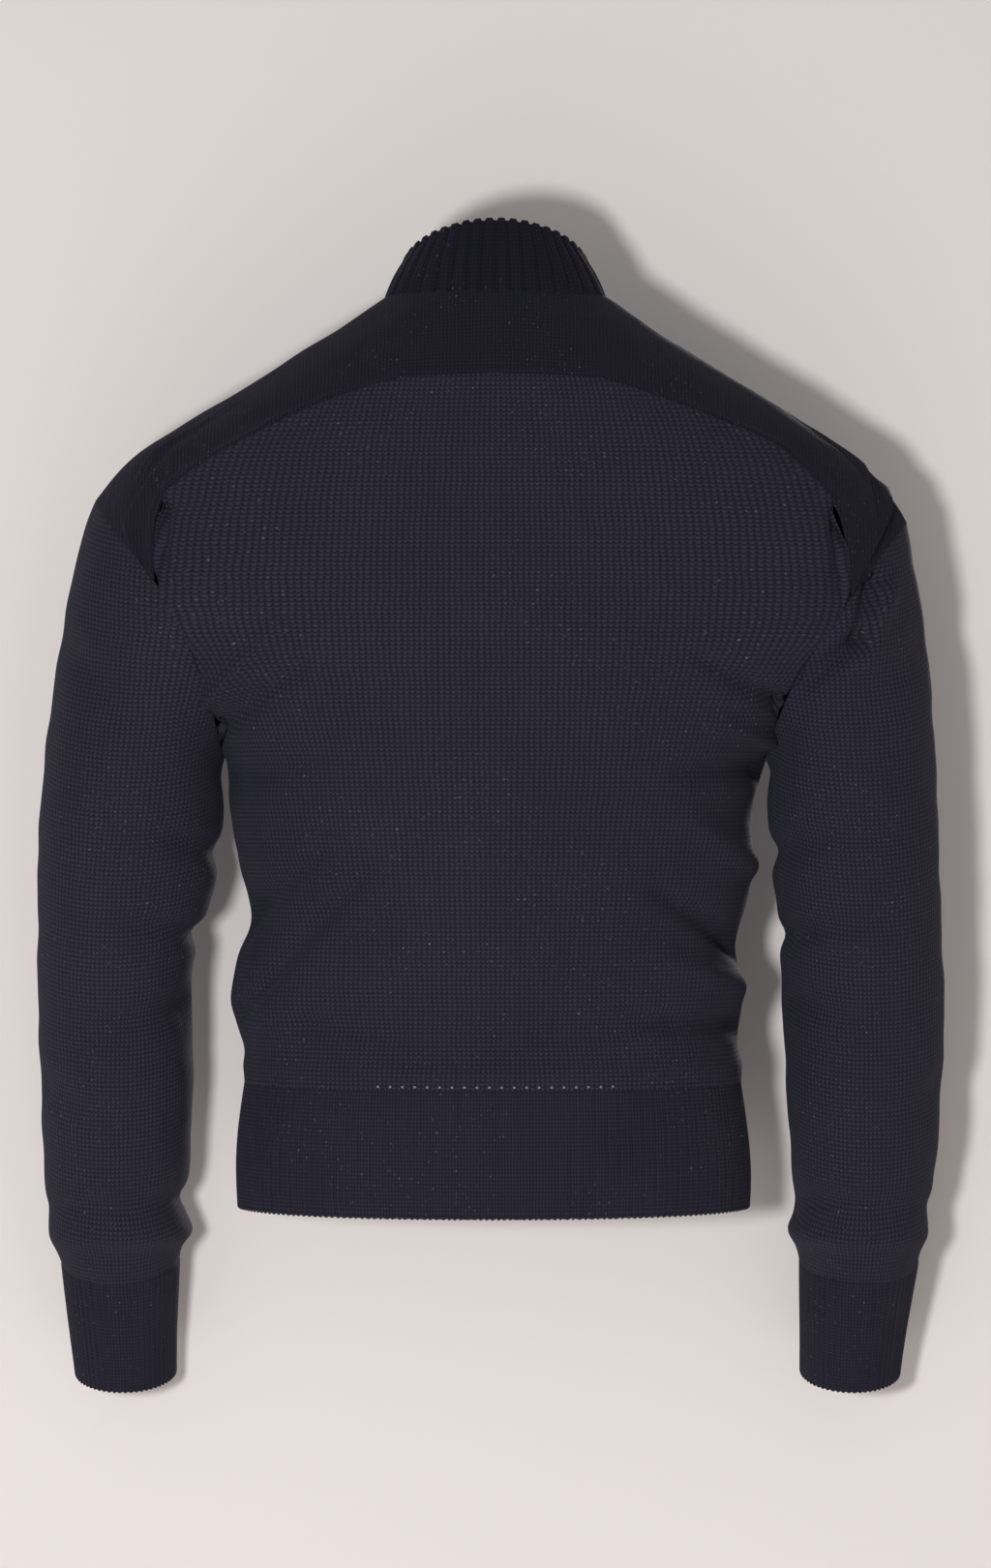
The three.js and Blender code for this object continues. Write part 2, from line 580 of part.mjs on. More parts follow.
function addYoke() {
  const outer = [...yokeOuter("left"), ...yokeOuter("right").reverse().slice(1)];
  const inner = yokeNeck();
  const left = yokeFrontSeam("left");
  const right = yokeFrontSeam("right");
  addPiece("yoke", onBody(patch(outer, inner, left, right)));
}

// ---- sleeves and cuffs ----
const sleeveCurves = {};
for (const sideName of Object.keys(SIDES)) {
  const rows = SLEEVES[sideName].map((row, index) => ({ index, ...row }));
  sleeveCurves[sideName] = curvesOf(rows, "index");
}
const SHOULDER_FADE_ROWS = 6; // the armhole's own shape fades out over these rows

function smoothSleeve(sideName, row, turn) {
  const at = sleeveCurves[sideName];
  const side = SIDES[sideName];
  const outer = new THREE.Vector3(side * at.outer(row), at.middle(row), at.outerLevel(row));
  const inner = new THREE.Vector3(side * at.inner(row), at.middle(row), at.innerLevel(row));
  const c = Math.cos(radians(turn));
  const s = Math.sin(radians(turn));
  const centre = outer.clone().add(inner).multiplyScalar(0.5);
  const reach = outer.clone().sub(inner).multiplyScalar(0.5);
  const forward = -s * (s > 0 ? at.back(row) : at.front(row));
  const tilt = radians(at.tilt(row));
  return centre
    .addScaledVector(reach, c)
    .add(new THREE.Vector3(0, forward * Math.cos(tilt), forward * Math.sin(tilt)));
}

function sleevePoint(sideName, row, turn) {
  const point = smoothSleeve(sideName, row, turn);
  if (row >= SHOULDER_FADE_ROWS) return point;
  const seam = armholePlace(sideName, turn);
  const shift = bodyPoint(seam.angle, seam.level).sub(smoothSleeve(sideName, 0, turn));
  return point.addScaledVector(shift, (1 - row / SHOULDER_FADE_ROWS) ** 2);
}

function addSleeve(sideName) {
  const back = armholeAngles;
  const front = armholeAngles.slice(1, -1).reverse().map((turn) => -turn);
  const turns = [...back, ...front];
  // Seen from outside, columns run from left to right.
  if (sideName === "right") turns.reverse();
  const rowAt = (row) => turns.map((turn) => sleevePoint(sideName, row, turn));
  const last = SLEEVES[sideName].length - 1;
  const rows = [];
  for (let row = last; row >= 0; row -= 1) rows.push(rowAt(row));
  const cuffRows = rows.slice(0, last - CUFF_ROW + 1);
  const sleeveRows = rows.slice(last - CUFF_ROW);
  addPiece("sleeve_" + sideName, sleeveRows, { closed: true, head: SLEEVE_SIDE });
  addPiece("cuff_" + sideName, cuffRows, { closed: true, colour: COLOURS.rib });
}

// ---- collar ----
const COLLAR_ROWS = 3;

// A point of the collar above a place of its seam, from 0 at the seam to 1 at the top.
function collarPoint(seam, rise) {
  const base = bodyPoint(seam.angle, seam.level);
  const round = Math.atan2(base.x / COLLAR_TOP.halfWidth, -base.y / COLLAR_TOP.halfDepth);
  const top = new THREE.Vector3(
    COLLAR_TOP.halfWidth * Math.sin(round),
    COLLAR_TOP.middle - COLLAR_TOP.halfDepth * Math.cos(round),
    COLLAR_TOP.level + COLLAR_TOP.rise * Math.cos(round),
  );
  const bulge = COLLAR_BULGE * Math.sin(Math.PI * rise);
  const out = new THREE.Vector3(Math.sin(round), -Math.cos(round), 0);
  return base.lerp(top, rise).addScaledVector(out, bulge);
}

const collarSeam = () => [
  ...neckFront("left").reverse().slice(0, -1),
  ...yokeNeck(),
  ...neckFront("right").slice(1),
];

function addCollar() {
  const rows = [];
  for (let j = 0; j <= COLLAR_ROWS; j += 1) {
    rows.push(collarSeam().map((seam) => collarPoint(seam, j / COLLAR_ROWS)));
  }
  addPiece("collar", rows, { colour: COLOURS.rib });
}

addBack();
addFront("left");
addFront("right");
addYoke();
addSleeve("left");
addSleeve("right");
addCollar();
shareSeamNormals();

const sweater = new THREE.Group();

function addMesh(name, geometry, colour, roughness, metalness) {
  const material = new THREE.MeshStandardMaterial({ color: colour, roughness, metalness });
  const mesh = new THREE.Mesh(geometry, material);
  mesh.name = name;
  sweater.add(mesh);
  return mesh;
}

for (const { name, grid, normals, closed, colour, head } of pieces) {
  const outer = stopShort(grid, normals, closed, head);
  const geometry = wallGeometry(outer, normals, closed, CLOTH);
  addMesh(name, geometry, colour, 0.95, 0);
}

// ---- zip ----
const zipTop = NECK[NECK.length - 1].level;
const zipRise = SLEEVE_COLUMNS_HALF - YOKE_FRONT_COLUMNS;
const ZIP_BODY_ROWS = [HEM_END + 1, HEM_SEAM, -510, -469, -429, -374];
for (let j = 0; j < zipRise; j += 1) ZIP_BODY_ROWS.push(mix(PANEL_ROWS[0], zipTop, j / zipRise));

// Rows of points up the middle front between two distances from the middle, on the cloth's face.
function zipGrid(side, from, to, columns, collarRises) {
  const xs = [];
  for (let i = 0; i <= columns; i += 1) xs.push(mix(from, to, i / columns));
  const bodyRow = (level) => xs.map((x) => {
    const seam = placeAtX(side * x, level, -1);
    return bodyPoint(seam.angle, seam.level);
  });
  const collarRow = (rise) => xs.map((x) => {
    const angle = placeAtX(side * x, zipTop, -1).angle;
    return collarPoint(neckPlace(angle), rise);
  });
  const rows = [...ZIP_BODY_ROWS.map(bodyRow), ...collarRises.map(collarRow)];
  // Seen from the front, the wearer's right is on the left.
  return side < 0 ? rows : rows.map((row) => [...row].reverse());
}

// A strip of the zip, lowered below the cloth's face.
function addStrip(name, side, size, columns, collarRises, colour, roughness, metalness) {
  const grid = zipGrid(side, size.from, size.to, columns, collarRises);
  const normals = gridNormals(grid, false);
  const lowered = grid.map((row, j) =>
    row.map((p, i) => p.clone().addScaledVector(normals[j][i], -size.below)),
  );
  addMesh(name, wallGeometry(lowered, normals, false, size.depth), colour, roughness, metalness);
}

for (const [sideName, side] of Object.entries(SIDES)) {
  addStrip("zip_tape_" + sideName, side, TAPE, 3, [0, 0.33, 0.66, 0.98], COLOURS.tape, 0.9, 0);
  addStrip("zip_chain_" + sideName, side, CHAIN, 1, [0, 0.33, 0.66], COLOURS.metal, 0.45, 0.8);
}

// The slider, its bail, the tab and the top stops stand on the collar's face near its top.
const face = (rise) => collarPoint(neckPlace(180), rise);
const sliderFoot = face(0.67);
const sliderTop = face(0.95);
const lean = Math.atan2(sliderFoot.y - sliderTop.y, sliderTop.z - sliderFoot.z);
const slider = new THREE.Group();
slider.position.copy(sliderFoot);
slider.rotation.x = lean;
sweater.add(slider);

// A flat plate with an outline in x and z, between two distances before the cloth's face.
function plate(outline, holes, from, to) {
  const shape = new THREE.Shape(outline.map(([x, z]) => new THREE.Vector2(x, z)));
  for (const hole of holes) {
    shape.holes.push(new THREE.Path(hole.map(([x, z]) => new THREE.Vector2(x, z))));
  }
  const geometry = new THREE.ExtrudeGeometry(shape, { depth: to - from, bevelEnabled: false });
  geometry.rotateX(Math.PI / 2);
  return geometry.translate(0, to, 0);
}

function addFitting(name, geometry) {
  const material = new THREE.MeshStandardMaterial({
    color: COLOURS.metal,
    roughness: 0.4,
    metalness: 0.9,
  });
  const mesh = new THREE.Mesh(geometry, material);
  mesh.name = name;
  slider.add(mesh);
}

const half = SLIDER.width / 2;
const waist = half * 0.72;
const sliderOutline = [
  [-waist, 0],
  [waist, 0],
  [waist, SLIDER.height * 0.35],
  [half, SLIDER.height * 0.7],
  [half, SLIDER.height],
  [-half, SLIDER.height],
  [-half, SLIDER.height * 0.7],
  [-waist, SLIDER.height * 0.35],
];
addFitting("zip_slider", plate(sliderOutline, [], -SLIDER.low, SLIDER.thick - SLIDER.low));

// The bail is a staple that stands on the slider: two legs and the bar that the tab turns on.
const bailFoot = SLIDER.thick - SLIDER.low + 0.3;
const hingeY = bailFoot + BAIL.stand - BAIL.wire / 2;
const hingeZ = SLIDER.height / 2;
const legOuter = TAB.width / 2 + 0.4 + BAIL.wire;
const legInner = legOuter - BAIL.wire;
const staple = [
  [-legOuter, bailFoot],
  [-legInner, bailFoot],
  [-legInner, hingeY - BAIL.wire / 2],
  [legInner, hingeY - BAIL.wire / 2],
  [legInner, bailFoot],
  [legOuter, bailFoot],
  [legOuter, bailFoot + BAIL.stand],
  [-legOuter, bailFoot + BAIL.stand],
].map(([x, y]) => new THREE.Vector2(x, y));
const bail = new THREE.ExtrudeGeometry(new THREE.Shape(staple), {
  depth: BAIL.wire,
  bevelEnabled: false,
});
addFitting("zip_bail", bail.translate(0, 0, hingeZ - BAIL.wire / 2));

// The tab's side view: an eye round the bar, and a blade that hangs from it.
const eye = new THREE.Shape();
const bladeHalf = TAB.thick / 2;
const bladeStart = Math.asin(bladeHalf / TAB.eye);
eye.moveTo(bladeHalf, -TAB.length);
eye.absarc(0, 0, TAB.eye, -Math.PI / 2 + bladeStart, (3 * Math.PI) / 2 - bladeStart, false);
eye.lineTo(-bladeHalf, -TAB.length);
eye.holes.push(new THREE.Path().absarc(0, 0, TAB.hole, 0, 2 * Math.PI, true));
const tab = new THREE.ExtrudeGeometry(eye, {
  depth: TAB.width,
  bevelEnabled: false,
  curveSegments: 8,
});
tab.translate(0, 0, -TAB.width / 2);
// The side view's first axis is forward, its second is up and the tab's width is across.
tab.applyMatrix4(new THREE.Matrix4().set(0, 0, 1, 0, 1, 0, 0, 0, 0, 1, 0, 0, 0, 0, 0, 1));
addFitting("zip_pull_tab", tab.translate(0, hingeY, hingeZ));

for (const [sideName, side] of Object.entries(SIDES)) {
  const stop = new THREE.BoxGeometry(STOP.width, STOP.thick, STOP.height);
  const level = SLIDER.height + STOP.height / 2 + 0.4;
  stop.translate(side * (STOP.width / 2 + 0.2), -STOP.thick / 2 - 0.3, level);
  addFitting("zip_stop_" + sideName, stop);
}

export default sweater;
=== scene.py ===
# %% [markdown]
# This lesson finishes a military zip sweater around its packed construction model. The garment
# is filled out with nobody in it and hangs from its shoulders, with its back to the camera.
# Every knitted piece starts from the coarse piece of the construction model, so that it can't
# drift out of place, and gets its ribs, folds and stitches here.

# %% Load the construction model
import math

import bmesh
import bpy
import numpy as np
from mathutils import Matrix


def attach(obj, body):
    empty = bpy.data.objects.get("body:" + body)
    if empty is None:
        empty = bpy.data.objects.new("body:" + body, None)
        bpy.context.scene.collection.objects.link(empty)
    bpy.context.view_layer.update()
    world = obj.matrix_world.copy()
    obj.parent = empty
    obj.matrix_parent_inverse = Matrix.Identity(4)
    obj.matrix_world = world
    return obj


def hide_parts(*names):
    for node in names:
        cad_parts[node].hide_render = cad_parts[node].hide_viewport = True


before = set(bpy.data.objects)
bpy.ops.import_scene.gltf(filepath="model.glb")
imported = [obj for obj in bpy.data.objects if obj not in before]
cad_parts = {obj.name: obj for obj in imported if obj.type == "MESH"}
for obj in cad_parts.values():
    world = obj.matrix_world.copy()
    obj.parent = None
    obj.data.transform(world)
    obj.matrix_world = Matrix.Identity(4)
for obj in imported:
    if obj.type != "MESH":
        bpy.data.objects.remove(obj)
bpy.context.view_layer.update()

# %% [markdown]
# The camera comes first. It stands level with the middle of the garment and far enough back
# that near and far parts keep nearly one scale, as in a catalogue picture.

# %% Camera
CAMERA_DISTANCE = 3.2
CAMERA_LEVEL = -0.347
FRAME_HEIGHT = 1.1016
SENSOR = 36
camera_data = bpy.data.cameras.new("camera")
camera_data.sensor_width = SENSOR
camera_data.lens = SENSOR * CAMERA_DISTANCE / FRAME_HEIGHT
camera = bpy.data.objects.new("camera", camera_data)
bpy.context.scene.collection.objects.link(camera)
camera.location = (0, -CAMERA_DISTANCE, CAMERA_LEVEL)
camera.rotation_euler = (math.pi / 2, 0, 0)
bpy.context.scene.camera = camera
bpy.context.scene.view_settings.view_transform = "Standard"
print("lens, mm:", round(camera_data.lens, 1))

# %% [markdown]
# A finish is a node tree. This helper keeps the trees short: it makes a maths node, wires or
# sets its inputs, and hands back its result.

# %% Node helpers
def wire(tree, socket, value):
    if isinstance(value, bpy.types.NodeSocket):
        tree.links.new(value, socket)
    else:
        socket.default_value = value


def maths(tree, operation, *values):
    node = tree.nodes.new("ShaderNodeMath")
    node.operation = operation
    for socket, value in zip(node.inputs, values):
        wire(tree, socket, value)
    return node.outputs[0]


def blend_colours(tree, factor, low, high):
    node = tree.nodes.new("ShaderNodeMix")
    node.data_type = "RGBA"
    wire(tree, node.inputs["Factor"], factor)
    wire(tree, node.inputs["A"], low)
    wire(tree, node.inputs["B"], high)
    return node.outputs["Result"]


def new_finish(name, roughness):
    finish = bpy.data.materials.new(name)
    finish.use_nodes = True
    shader = finish.node_tree.nodes["Principled BSDF"]
    shader.inputs["Roughness"].default_value = roughness
    return finish, finish.node_tree, shader


def soft_noise(tree, vector, scale, detail):
    node = tree.nodes.new("ShaderNodeTexNoise")
    wire(tree, node.inputs["Vector"], vector)
    node.inputs["Scale"].default_value = scale
    node.inputs["Detail"].default_value = detail
    return node.outputs["Fac"]


# %% [markdown]
# The knit is a grid of stitches. Each stitch is a small pale bump, each column of stitches (a
# wale) is parted from the next by a groove with painted shade in it, and rows (courses) cross
# them. The pattern reads the stitch map of each piece, which is laid out in metres along the
# cloth, so that the stitches keep their size and follow the sleeves and the yoke.

# %% The knitted finish
BUMP_COLOUR = (0.030, 0.0285, 0.046, 1)
# Painted shade: the dark colour painted into the grooves between stitches.
GROOVE_PAINTED_SHADE = (0.0032, 0.0031, 0.0068, 1)
PALE_YARN = (0.30, 0.29, 0.30, 1)
SHEEN_TINT = (0.55, 0.58, 0.80, 1)


def knit_finish(name, wale, course, shade=1.0, depth=0.0007, eyelets=False):
    finish, tree, shader = new_finish(name, 0.9)
    uv = tree.nodes.new("ShaderNodeUVMap")
    uv.uv_map = "stitches"
    split = tree.nodes.new("ShaderNodeSeparateXYZ")
    tree.links.new(uv.outputs[0], split.inputs[0])
    across, along = split.outputs[0], split.outputs[1]
    drift = soft_noise(tree, uv.outputs[0], 55, 2)
    wobble = maths(tree, "MULTIPLY", maths(tree, "SUBTRACT", drift, 0.5), 0.9)
    column = maths(tree, "ADD", maths(tree, "DIVIDE", across, wale), wobble)
    groove = maths(tree, "ABSOLUTE", maths(tree, "SINE", maths(tree, "MULTIPLY", column, math.pi)))
    row = maths(tree, "ADD", maths(tree, "DIVIDE", along, course), maths(tree, "MULTIPLY", groove, 0.4))
    bead = maths(tree, "ABSOLUTE", maths(tree, "SINE", maths(tree, "MULTIPLY", row, math.pi)))
    bead = maths(tree, "ADD", maths(tree, "MULTIPLY", maths(tree, "POWER", bead, 0.7), 0.8), 0.2)
    across_share = maths(tree, "ADD", maths(tree, "MULTIPLY", groove, 0.6), 0.4)
    height = maths(tree, "MULTIPLY", across_share, bead)
    fuzz = soft_noise(tree, uv.outputs[0], 900, 3)
    uneven = maths(tree, "ADD", maths(tree, "MULTIPLY", fuzz, 0.7), 0.62)
    broad = maths(tree, "ADD", maths(tree, "MULTIPLY", soft_noise(tree, uv.outputs[0], 14, 3), 0.35), 0.83)
    tone = maths(tree, "MULTIPLY", maths(tree, "MULTIPLY", height, uneven), broad)
    tone = maths(tree, "MULTIPLY", tone, shade)
    # Painted shade: where the stitch height is low, in the grooves, the colour darkens towards the painted
    # groove shade; the noise in the tone is the yarn's own unevenness.
    colour = blend_colours(tree, tone, GROOVE_PAINTED_SHADE, BUMP_COLOUR)
    # Here and there a stitch sits open and shows its lit side.
    fleck = maths(tree, "GREATER_THAN", soft_noise(tree, uv.outputs[0], 420, 1), 0.715)
    cluster = maths(tree, "GREATER_THAN", soft_noise(tree, uv.outputs[0], 9, 1), 0.5)
    fleck = maths(tree, "MULTIPLY", fleck, cluster)
    lit = maths(tree, "MULTIPLY", maths(tree, "MULTIPLY", fleck, height), 0.28)
    colour = blend_colours(tree, lit, colour, PALE_YARN)
    if eyelets:
        colour = add_eyelets(tree, across, along, colour)
    tree.links.new(colour, shader.inputs["Base Color"])
    relief = tree.nodes.new("ShaderNodeBump")
    relief.inputs["Distance"].default_value = depth
    relief.inputs["Strength"].default_value = 0.9
    tree.links.new(maths(tree, "MULTIPLY", height, uneven), relief.inputs["Height"])
    tree.links.new(relief.outputs[0], shader.inputs["Normal"])
    shader.inputs["Sheen Weight"].default_value = 0.045
    shader.inputs["Sheen Roughness"].default_value = 0.45
    shader.inputs["Sheen Tint"].default_value = SHEEN_TINT
    shader.inputs["Specular IOR Level"].default_value = 0.1
    return finish


# %% [markdown]
# Where the hem rib is linked to the back, a row of small open stitches shows as pale dots.

# %% Eyelets at the hem seam
EYELET = dict(level=-0.5535, half_height=0.0007, pitch=0.0088, share=0.09, reach=0.09)


def add_eyelets(tree, across, along, colour):
    off = maths(tree, "ABSOLUTE", maths(tree, "SUBTRACT", along, EYELET["level"]))
    in_row = maths(tree, "LESS_THAN", off, EYELET["half_height"])
    turn = maths(tree, "FRACT", maths(tree, "DIVIDE", across, EYELET["pitch"]))
    off_hole = maths(tree, "ABSOLUTE", maths(tree, "SUBTRACT", turn, 0.5))
    in_hole = maths(tree, "LESS_THAN", off_hole, EYELET["share"])
    near = maths(tree, "LESS_THAN", maths(tree, "ABSOLUTE", across), EYELET["reach"])
    dot = maths(tree, "MULTIPLY", maths(tree, "MULTIPLY", in_row, in_hole), near)
    return blend_colours(tree, maths(tree, "MULTIPLY", dot, 0.6), colour, PALE_YARN)


FINISHES = {
    "body": knit_finish("body_knit", 0.0033, 0.0030),
    "back": knit_finish("back_knit", 0.0035, 0.0030, eyelets=True),
    "yoke": knit_finish("yoke_knit", 0.0030, 0.0027, shade=0.52),
    "sleeve": knit_finish("sleeve_knit", 0.0031, 0.0032, shade=1.05),
    "rib": knit_finish("rib_knit", 0.0022, 0.0026, shade=0.8, depth=0.0004),
    "neck_rib": knit_finish("neck_rib_knit", 0.0024, 0.0028, shade=0.36, depth=0.0004),
}
print("knitted finishes:", sorted(FINISHES))

# %% [markdown]
# Each knitted piece is a copy of its coarse piece. The copy's loose triangles are merged and
# paired back into the four-sided faces they came from. The cut edges grow a little, to take up
# the construction model's clearance, as sewn edges do. A subdivision surface then rounds the
# whole, and a crease weight stops it from shrinking the edges back, so each seam is a fine line.

# %% Fine copies of the knitted pieces
SEAM_TAKE_UP = 0.0006
SLEEVE_TAKE_UP = 0.0011
EDGE_CREASE = 0.8
CUT_EDGE_ANGLE = math.radians(55)


def grow_cut_edges(work, take_up):
    """Move every corner of a cut edge outward along the narrow face that closes it."""
    crease = work.edges.layers.float.new("crease_edge")
    pushes = {}
    for edge in work.edges:
        if len(edge.link_faces) != 2 or edge.calc_face_angle() < CUT_EDGE_ANGLE:
            continue
        edge[crease] = EDGE_CREASE
        rim = min(edge.link_faces, key=lambda face: face.calc_area())
        for corner in edge.verts:
            pushes.setdefault(corner, []).append(rim.normal.copy())
    for corner, directions in pushes.items():
        total = directions[0]
        for direction in directions[1:]:
            if direction.dot(total.normalized()) < 0.9:
                total = total + direction
        corner.co += total * take_up


def fine_copy(node, levels, take_up):
    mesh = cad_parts[node].data.copy()
    mesh.materials.clear()
    piece = bpy.data.objects.new(node + "_cloth", mesh)
    bpy.context.scene.collection.objects.link(piece)
    work = bmesh.new()
    work.from_mesh(mesh)
    bmesh.ops.remove_doubles(work, verts=work.verts, dist=2e-5)
    bmesh.ops.join_triangles(
        work,
        faces=work.faces,
        angle_face_threshold=math.radians(40),
        angle_shape_threshold=math.radians(50),
    )
    work.normal_update()
    grow_cut_edges(work, take_up)
    work.to_mesh(mesh)
    work.free()
    rounding = piece.modifiers.new("rounding", "SUBSURF")
    rounding.levels = levels
    rounding.render_levels = levels
    bpy.ops.object.select_all(action="DESELECT")
    bpy.context.view_layer.objects.active = piece
    piece.select_set(True)
    bpy.ops.object.modifier_apply(modifier="rounding")
    return piece


def points_of(piece):
    count = len(piece.data.vertices)
    points = np.empty(count * 3)
    normals = np.empty(count * 3)
    piece.data.vertices.foreach_get("co", points)
    piece.data.vertices.foreach_get("normal", normals)
    return points.reshape(-1, 3), normals.reshape(-1, 3)


# %% [markdown]
# To lay out stitches and ribs, each point needs its distance round the garment and along it.
# Round the body and the collar that is an ellipse's arc. A sleeve has a middle line of its own,
# given here by a few levels, because the forearm hangs forward.

# %% Stitch maps
SLEEVE_MIDDLE = dict(
    level=(-0.80, -0.769, -0.687, -0.626, -0.537, -0.442, -0.36, -0.24, -0.14),
    out=(0.2655, 0.266, 0.268, 0.269, 0.267, 0.263, 0.256, 0.245, 0.243),
    forward=(0.089, 0.081, 0.057, 0.038, 0.016, 0.003, 0.0, 0.0, 0.0),
)
RIGHT_SLEEVE_SHIFT = -0.008
ARC_STEPS = 721
BODY_RADII = (0.185, 0.107)
COLLAR_RADII = (0.072, 0.067)
SLEEVE_RADIUS = 0.0565
CUFF_RADIUS = 0.040
YOKE = dict(ridge=-0.005, neck=0.073, slope=0.62, axis_drop=0.09, bend=0.1, stretch=1.18)


def ellipse_arc(x, y, radii):
    wide, deep = radii
    turns = np.linspace(-math.pi, math.pi, ARC_STEPS)
    ring = np.stack([wide * np.sin(turns), -deep * np.cos(turns)], axis=1)
    lengths = np.concatenate([[0], np.cumsum(np.linalg.norm(np.diff(ring, axis=0), axis=1))])
    turn = np.arctan2(x / wide, -y / deep)
    return np.interp(turn, turns, lengths - lengths[-1] / 2)


def body_map(points):
    return ellipse_arc(points[:, 0], points[:, 1], BODY_RADII), points[:, 2]


def collar_map(points):
    return ellipse_arc(points[:, 0], points[:, 1], COLLAR_RADII), points[:, 2]


def yoke_map(points):
    out = np.abs(points[:, 0])
    ridge = YOKE["ridge"] - YOKE["slope"] * np.maximum(out - YOKE["neck"], 0)
    over = np.arctan2(points[:, 1], points[:, 2] - ridge + YOKE["axis_drop"])
    return points[:, 0] * YOKE["stretch"], YOKE["bend"] * over


def sleeve_offsets(points, side):
    levels = np.array(SLEEVE_MIDDLE["level"])
    shift = RIGHT_SLEEVE_SHIFT if side > 0 else 0
    out = np.interp(points[:, 2], levels, SLEEVE_MIDDLE["out"]) + shift
    forward = np.interp(points[:, 2], levels, SLEEVE_MIDDLE["forward"])
    return points[:, 0] - side * out, points[:, 1] - forward


def sleeve_map(side, radius):
    def lay_out(points):
        across, ahead = sleeve_offsets(points, side)
        return np.arctan2(across, -ahead) * radius, points[:, 2] * 1.03 - 0.3 * ahead

    return lay_out


def outward(points, normals, side):
    """Each point's normal, turned to point out of the garment on the inner wall too."""
    if side:
        across, ahead = sleeve_offsets(points, side)
    else:
        across, ahead = points[:, 0] * 0.5, points[:, 1]
    facing = normals[:, 0] * across + normals[:, 1] * ahead
    return normals * np.where(facing >= 0, 1, -1)[:, None]


def store_map(piece, across, along):
    layer = piece.data.uv_layers.new(name="stitches")
    corner = np.empty(len(piece.data.loops), dtype=np.int32)
    piece.data.loops.foreach_get("vertex_index", corner)
    places = np.stack([across[corner], along[corner]], axis=1)
    layer.data.foreach_set("uv", places.ravel().astype(np.float32))


# %% [markdown]
# Folds are soft troughs (minus) and ridges (plus), each a line between two places as seen from
# behind. A row holds the side it faces, x and z of both ends, its width and its height, all in
# metres. They are placed one by one, uneven on purpose: pulls from the armpits, slumps at the
# waist, and rolls over the hem and the cuffs.

# %% Folds
BACK, FRONT, BOTH = 1, -1, 0
FOLD_SHARE = 2.2
FOLD_NARROWING = 0.85
FOLD_TAPER = 0.6
BODY_FOLDS = [
    (BACK, -0.209, -0.300, -0.150, -0.244, 0.007, 0.0040),
    (BACK, -0.199, -0.312, -0.135, -0.268, 0.009, -0.0045),
    (BACK, -0.190, -0.345, -0.120, -0.330, 0.012, -0.0030),
    (BACK, -0.228, -0.158, -0.229, -0.205, 0.006, -0.0040),
    (BACK, 0.199, -0.292, 0.140, -0.262, 0.008, -0.0045),
    (BACK, 0.194, -0.318, 0.150, -0.306, 0.007, 0.0035),
    (BACK, 0.188, -0.337, 0.128, -0.338, 0.009, -0.0040),
    (BACK, 0.236, -0.160, 0.236, -0.212, 0.006, -0.0040),
    (BACK, -0.182, -0.508, -0.086, -0.404, 0.008, -0.0035),
    (BACK, -0.176, -0.440, -0.120, -0.395, 0.008, -0.0040),
    (BACK, 0.172, -0.462, 0.112, -0.420, 0.008, -0.0050),
    (BACK, 0.176, -0.490, 0.124, -0.470, 0.010, 0.0030),
    (BACK, 0.172, -0.515, 0.096, -0.507, 0.008, -0.0035),
    (BACK, 0.180, -0.405, 0.135, -0.372, 0.010, 0.0030),
    (BACK, -0.130, -0.512, -0.040, -0.524, 0.008, -0.0022),
    (BACK, 0.030, -0.520, 0.120, -0.512, 0.008, -0.0022),
    (BACK, -0.060, -0.538, 0.050, -0.536, 0.007, -0.0014),
    (FRONT, -0.205, -0.300, -0.120, -0.245, 0.012, -0.0050),
    (FRONT, 0.205, -0.298, 0.130, -0.250, 0.010, -0.0045),
    (FRONT, -0.176, -0.446, -0.096, -0.416, 0.010, -0.0045),
    (FRONT, 0.172, -0.464, 0.084, -0.436, 0.011, -0.0045),
    (FRONT, -0.170, -0.510, -0.060, -0.520, 0.009, -0.0030),
    (FRONT, 0.168, -0.505, 0.070, -0.516, 0.009, -0.0030),
]
SLEEVE_FOLDS = [
    (BOTH, 0.190, -0.395, 0.262, -0.372, 0.012, -0.0030),
    (BOTH, 0.206, -0.452, 0.268, -0.438, 0.010, -0.0035),
    (BACK, 0.210, -0.500, 0.270, -0.520, 0.012, -0.0030),
    (FRONT, 0.212, -0.486, 0.290, -0.470, 0.010, -0.0045),
    (FRONT, 0.212, -0.520, 0.280, -0.512, 0.009, -0.0040),
    (BACK, 0.316, -0.560, 0.262, -0.585, 0.014, -0.0020),
    (BOTH, 0.222, -0.640, 0.315, -0.646, 0.009, -0.0025),
    (BOTH, 0.218, -0.664, 0.318, -0.668, 0.011, 0.0030),
    (BACK, 0.300, -0.250, 0.250, -0.300, 0.014, -0.0020),
]
RIGHT_SEAM_FOLDS = [
    (BACK, 0.262, -0.206, 0.252, -0.247, 0.008, -0.0060),
    (BACK, 0.252, -0.247, 0.212, -0.278, 0.008, -0.0060),
    (BACK, 0.272, -0.214, 0.256, -0.262, 0.008, 0.0030),
]
YOKE_SEAM_LEFT = ((-0.2375, -0.205), (-0.2345, -0.160), (-0.2285, -0.1455), (-0.197, -0.1245),
                  (-0.155, -0.1024), (-0.113, -0.084), (-0.056, -0.069), (0.0, -0.0675))
YOKE_SEAM_RIGHT = ((0.0, -0.0675), (0.066, -0.069), (0.113, -0.083), (0.155, -0.098),
                   (0.196, -0.116), (0.2325, -0.150), (0.240, -0.170), (0.2435, -0.214))


def line_distance(x, z, x1, z1, x2, z2):
    length = (x2 - x1) ** 2 + (z2 - z1) ** 2
    t = np.clip(((x - x1) * (x2 - x1) + (z - z1) * (z2 - z1)) / length, 0, 1)
    return np.hypot(x - x1 - t * (x2 - x1), z - z1 - t * (z2 - z1)), t


